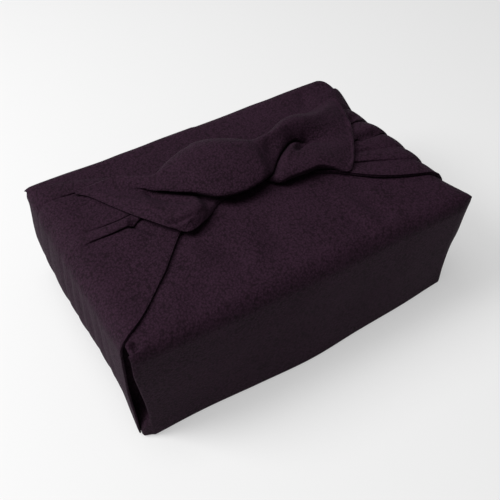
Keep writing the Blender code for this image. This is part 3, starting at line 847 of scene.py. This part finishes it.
# From the left tail over the knot to the right tail. The columns are the back and front edges, the
# bow, the height at the back, then shoulder, crest, slope and lip, and in the second line the
# place under the lip, the low crest, the front top, the height at the front and the tuck.
KNOT_SECTIONS = (
    Section((-97, 52), (-98, 50), 0, 4.6, (.1, 4.7), (.2, 4.7), (.3, 4.7), (.4, 4.7),
            (.5, 4.7), (.7, 4.7), (.85, 4.7), 4.6, .6),
    Section((-88, 53), (-91, 43), 0, 4.6, (.08, 5.2), (.2, 5.7), (.3, 5.5), (.4, 5.3),
            (.5, 5.3), (.75, 5.8), (.9, 5.2), 4.8, .8),
    Section((-79, 53), (-83, 28), 0, 4.6, (.05, 5.8), (.12, 6.8), (.2, 6.2), (.28, 5.6),
            (.38, 5.3), (.7, 7.4), (.9, 6.4), 5.2, 1.2),
    Section((-70, 52), (-75, 13), 0, 4.4, (.04, 6.2), (.09, 8.0), (.17, 7.0), (.26, 5.7),
            (.36, 5.2), (.77, 9.0), (.92, 7.4), 6.2, 1.0),
    Section((-60, 47), (-67, 0), 0, 4.0, (.08, 8.0), (.15, 10.0), (.23, 8.6), (.29, 6.6),
            (.34, 5.5), (.76, 10.6), (.92, 8.8), 7.2, .8),
    Section((-50, 42), (-60, -10), 0, 3.4, (.09, 8.0), (.17, 12.2), (.25, 11.2), (.345, 8.8),
            (.285, 3.8), (.78, 11.0), (.93, 9.0), 6.8, 1.4),
    Section((-38, 46), (-52, -17), 0, 2.6, (.09, 12.0), (.2, 15.4), (.33, 14.2), (.485, 9.8),
            (.345, 3.0), (.81, 12.2), (.94, 9.4), 6.6, 1.4),
    Section((-28, 50), (-40, -13), 0, 2.0, (.12, 14.6), (.3, 18.6), (.49, 16.4), (.655, 10.6),
            (.53, 3.0), (.84, 11.2), (.94, 9.2), 6.0, 2.0),
    Section((-20, 52), (-33, -8), 0, 2.0, (.13, 15.2), (.34, 19.6), (.62, 17.4), (.81, 11.2),
            (.72, 3.2), (.92, 5.4), (.97, 5.0), 3.6, 2.0),
    Section((-14, 53), (-22, 0), 0, 2.0, (.14, 15.6), (.42, 20.4), (.82, 17.2), (1.07, 11.4),
            (.93, 3.0), (.96, 2.6), (.98, 2.2), 1.7, .5),
    Section((-4, 52), (-7, 3), 0, 2.0, (.18, 15.6), (.5, 21.0), (.92, 17.4), (1.2, 11.4),
            (1.03, 2.8), (1.02, 2.4), (1.01, 2.0), 1.6, .5),
    Section((8, 48), (6, 4), 0, 2.0, (.2, 13.6), (.52, 20.2), (.93, 16.8), (1.2, 11.2),
            (1.04, 2.8), (1.03, 2.4), (1.01, 2.0), 1.6, .5),
    Section((14, 44), (13, 3), 0, 2.0, (.2, 12.6), (.46, 18.8), (.85, 16.4), (1.11, 11.0),
            (1.02, 3.0), (1.02, 2.5), (1.01, 2.0), 1.6, .5),
    Section((20, 42), (19, -8.5), 0, 2.0, (.17, 11.2), (.34, 16.8), (.56, 13.6), (.79, 8.6),
            (.74, 3.2), (.9, 10.4), (.96, 10.8), 9.0, 11.0),
    Section((28, 41), (27, -9.5), 0, 2.2, (.16, 11.4), (.28, 16.2), (.42, 12.4), (.615, 8.4),
            (.575, 3.6), (.76, 11.8), (.93, 12.4), 10.6, 12.0),
    Section((37, 41), (36.5, -10), 0, 2.4, (.14, 12.2), (.26, 17.4), (.36, 14.2), (.475, 9.0),
            (.44, 4.2), (.62, 12.4), (.89, 12.8), 11.0, 11.0),
    Section((48, 44), (47.5, -10), 0, 3.2, (.13, 15.0), (.26, 18.4), (.335, 15.8), (.405, 9.0),
            (.385, 5.0), (.55, 11.0), (.87, 12.8), 11.0, 9.0),
    Section((61, 47), (56, -14), 0, 3.8, (.14, 14.4), (.29, 17.8), (.38, 14.8), (.45, 8.2),
            (.49, 5.4), (.66, 10.4), (.86, 11.4), 8.4, 5.0),
    Section((77, 46), (61, -19), 3, 4.4, (.1, 9.4), (.22, 13.6), (.33, 11.6), (.45, 8.2),
            (.54, 7.0), (.69, 8.8), (.87, 7.8), 5.8, 2.0),
    Section((91, 50), (64.5, -20), 6, 4.6, (.08, 7.2), (.17, 9.6), (.3, 9.2), (.42, 7.6),
            (.52, 6.8), (.68, 7.2), (.87, 6.4), 5.0, 1.0),
    Section((103, 53.5), (68, -19), 9, 4.8, (.06, 5.4), (.13, 6.0), (.25, 5.6), (.37, 5.3),
            (.47, 5.4), (.63, 5.8), (.87, 5.4), 5.0, .8),
)

# The creases and crests of the knot, from its left end to its right.
KNOT_CREASES = (
    Crease("left valley", Face.TOP, ((-61, 30), (-56, 23.5), (-49.5, 13), (-42.5, 6), (-37, 0)),
           -2.8, 3.0),
    Crease("lobe crest", Face.TOP, ((-60, 2), (-51, 4), (-45, 5), (-39, 3), (-35, -1)), 0.9, 3.2),
    Crease("groove by the curled hem", Face.TOP,
           ((-62.2, -5.2), (-59.1, -7.4), (-54.9, -9.2), (-48.7, -10.3), (-42.7, -8.9)),
           -1.9, 1.4),
    Crease("curled hem", Face.TOP,
           ((-65.1, -2.8), (-60.8, -7.5), (-57.7, -11.3), (-52.6, -13), (-47.6, -11.5),
            (-43.7, -10.2)),
           1.1, 1.2),
    Crease("tongue", Face.TOP, ((49, 18.5), (43, 13.5), (35, 8), (28, 2)), 1.6, 2.4),
    Crease("second valley", Face.TOP, ((60, 20.5), (55, 18), (49, 14), (44, 10.7), (39, 7)),
           -5.0, 2.7, 0.2, 0.4),
    Crease("end hem", Face.TOP,
           ((102, 52), (103, 46), (99, 32), (94, 18), (82, -1), (71, -15), (64, -18)),
           0.9, 1.3, 0.05, 0.05),
)


@dataclass(frozen=True)
class Knot:
    """The knot and its two tails, laid flat to the left and to the right.

    flat and area are the knot's flat size in metres and square metres, and neither is used. The
    front edge is rolled under: each row of roll is a share of the tuck inwards and of the drop
    downwards. It runs in the direction of the cloth roll_from places back, drops by at least
    least_drop, and stays under_height above the body's top.
    """

    body: WrappedBody
    sections: tuple[Section, ...] = KNOT_SECTIONS
    creases: tuple[Crease, ...] = KNOT_CREASES
    waves: tuple[Waves, ...] = (Waves(20.0, 0.5, 9.4), Waves(7.0, 0.15, 4.2))
    flat: tuple[float, float] = (0.21, 0.09)
    area: float = 0.0145
    under_height: float = 1.4
    least_drop: float = 0.5
    roll: tuple[tuple[float, float], ...] = (
        (-0.01, 0.12), (0.02, 0.3), (0.1, 0.5), (0.25, 0.7), (0.5, 0.88), (1.0, 1.0))
    roll_from: int = 8
    steps_per_section: int = 12
    steps_per_place: int = 12

    def profile(self, section: Section) -> np.ndarray:
        """Return a section's nine places across the knot.

        Args:
            section: The section.

        Returns:
            Its points from back to front, one a row.
        """
        back, front = np.array(section.back, float), np.array(section.front, float)
        points = []
        for share, height in section.places():
            x, y = back + (front - back) * share
            bow = section.bow * 4.0 * share * (1.0 - share)
            points.append((x + bow, y, self.body.height + height))
        return np.array(points)

    def tucked(self, points: np.ndarray, tucks: np.ndarray) -> np.ndarray:
        """Return the grid with its front edge rolled under.

        Args:
            points: Rows of points from the back edge to the front edge.
            tucks: How far each row is rolled under.

        Returns:
            The rows with the points of the roll at their front ends.
        """
        front = points[:, -1]
        inward = points[:, -self.roll_from] - front
        inward[:, 2] = 0.0
        inward /= np.linalg.norm(inward, axis=1, keepdims=True)
        drop = np.minimum(tucks, front[:, 2] - self.body.height - self.under_height)
        drop = np.maximum(drop, self.least_drop)
        extra = []
        for share, fall in self.roll:
            point = front + inward * (tucks * share)[:, None]
            point[:, 2] -= drop * fall
            extra.append(point)
        return np.concatenate([points, np.stack(extra, axis=1)], axis=1)

    def build(self, sheet: Sheet, cloth: bpy.types.Material) -> bpy.types.Object:
        """Build the knot.

        Args:
            sheet: How the points become a thin sheet.
            cloth: The material.

        Returns:
            The finished piece.
        """
        profiles = np.stack([self.profile(section) for section in self.sections])
        rows = (len(profiles) - 1) * self.steps_per_section + 1
        columns = (profiles.shape[1] - 1) * self.steps_per_place + 1
        lengthwise = curve(profiles, np.arange(rows) / self.steps_per_section)
        across = curve(lengthwise.transpose(1, 0, 2), np.arange(columns) / self.steps_per_place)
        points = across.transpose(1, 0, 2)
        smooth = points.reshape(-1, 3)
        lift = lifted(smooth, self.creases) + lifted(smooth, self.waves)
        points[..., 2] += lift.reshape(points.shape[:2])
        tucks = np.array([[section.tuck] for section in self.sections])
        tucks = curve(tucks, np.arange(rows) / self.steps_per_section)[:, 0]
        points = self.tucked(points, tucks)
        quads = grid_quads(rows, points.shape[1], flip=True)
        piece = sheet.make("knot", points.reshape(-1, 3), quads, cloth)
        return piece


@dataclass(frozen=True)
class Lamp:
    """A soft round lamp that points at the wrap, with its place and size in metres."""

    name: str
    place: tuple[float, float, float]
    size: float
    power: float

    def hang(self) -> None:
        """Hang the lamp."""
        light = bpy.data.lights.new(self.name, "AREA")
        light.shape = "DISK"
        light.size = self.size
        light.energy = self.power
        lamp = bpy.data.objects.new(self.name, light)
        lamp.location = self.place
        lamp.rotation_euler = (-Vector(self.place)).to_track_quat("-Z", "Y").to_euler()
        bpy.context.scene.collection.objects.link(lamp)


@dataclass(frozen=True)
class Studio:
    """The plain pale floor, which glows a little like a lit table, the light and the camera.

    The floor's size is in metres. focal_share is the lens's focal length as a share of the
    picture's width, eye is where the camera stands, and its angles are in degrees.
    """

    floor_size: float = 6.0
    floor_color: tuple[float, float, float, float] = (0.44, 0.44, 0.44, 1.0)
    floor_glow: float = 0.42
    floor_roughness: float = 0.9
    floor_specular: float = 0.1
    ambient: float = 0.18
    lamps: tuple[Lamp, ...] = (
        Lamp("overhead", (-0.3, 0.1, 1.35), 0.9, 8.0),
        Lamp("left", (-0.97, 0.4, 1.0), 0.7, 17.0),
    )
    focal_share: float = 716.684 / 500.0
    sensor: float = 36.0
    nearest: float = 0.01
    yaw: float = 32.9813
    pitch: float = 47.5716
    roll: float = 1.8323
    eye: tuple[float, float, float] = (-183.24, -285.36, 400.07)

    def floor(self) -> None:
        """Lay the floor."""
        bpy.ops.mesh.primitive_plane_add(size=self.floor_size, location=(0.0, 0.0, 0.0))
        floor = bpy.context.active_object
        floor.name = "floor"
        paper = bpy.data.materials.new("paper")
        paper.use_nodes = True
        shader = paper.node_tree.nodes["Principled BSDF"]
        shader.inputs["Base Color"].default_value = self.floor_color
        shader.inputs["Roughness"].default_value = self.floor_roughness
        shader.inputs["Specular IOR Level"].default_value = self.floor_specular
        shader.inputs["Emission Color"].default_value = WHITE
        shader.inputs["Emission Strength"].default_value = self.floor_glow
        floor.data.materials.append(paper)

    def lights(self) -> None:
        """Place the lamps, and the even light all round."""
        world = bpy.data.worlds.new("studio")
        bpy.context.scene.world = world
        world.use_nodes = True
        background = world.node_tree.nodes["Background"]
        background.inputs["Color"].default_value = WHITE
        background.inputs["Strength"].default_value = self.ambient
        for lamp in self.lamps:
            lamp.hang()

    def camera(self) -> None:
        """Place the camera and make it the scene's."""
        yaw, pitch, roll = radians(self.yaw), radians(self.pitch), radians(self.roll)
        ahead = Vector((sin(yaw) * cos(pitch), cos(yaw) * cos(pitch), -sin(pitch)))
        level = Vector((cos(yaw), -sin(yaw), 0.0))
        lift = level.cross(ahead)
        right = level * cos(roll) + lift * sin(roll)
        up = lift * cos(roll) - level * sin(roll)
        turn = Matrix((right, up, -ahead)).transposed().to_4x4()
        lens = bpy.data.cameras.new("camera")
        lens.sensor_width = self.sensor
        lens.lens = self.sensor * self.focal_share
        lens.clip_start = self.nearest
        camera = bpy.data.objects.new("camera", lens)
        bpy.context.scene.collection.objects.link(camera)
        camera.matrix_world = Matrix.Translation(Vector(self.eye) * MM) @ turn
        bpy.context.scene.camera = camera


def main() -> None:
    """Load the frame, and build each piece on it."""
    logging.basicConfig(level=logging.INFO, format="%(message)s")
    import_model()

    cloth = Crepe().material()
    sheet = Sheet()
    body = WrappedBody()
    panels = body.build(sheet, cloth)
    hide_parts(NODE)
    left_flap = GatheredFlap("left_flap", Side.LEFT, LEFT_FOLDS, LEFT_CREASES, body, LEFT_FLAT,
                             toe=LEFT_TOE)
    left_flap.build(sheet, cloth)
    right_flap = GatheredFlap("right_flap", Side.RIGHT, RIGHT_FOLDS, RIGHT_CREASES, body,
                              RIGHT_FLAT)
    right_flap.build(sheet, cloth)
    Knot(body).build(sheet, cloth)

    studio = Studio()
    studio.floor()
    studio.lights()
    studio.camera()
    bpy.context.scene.view_settings.view_transform = "Standard"


if __name__ == "__main__":
    main()
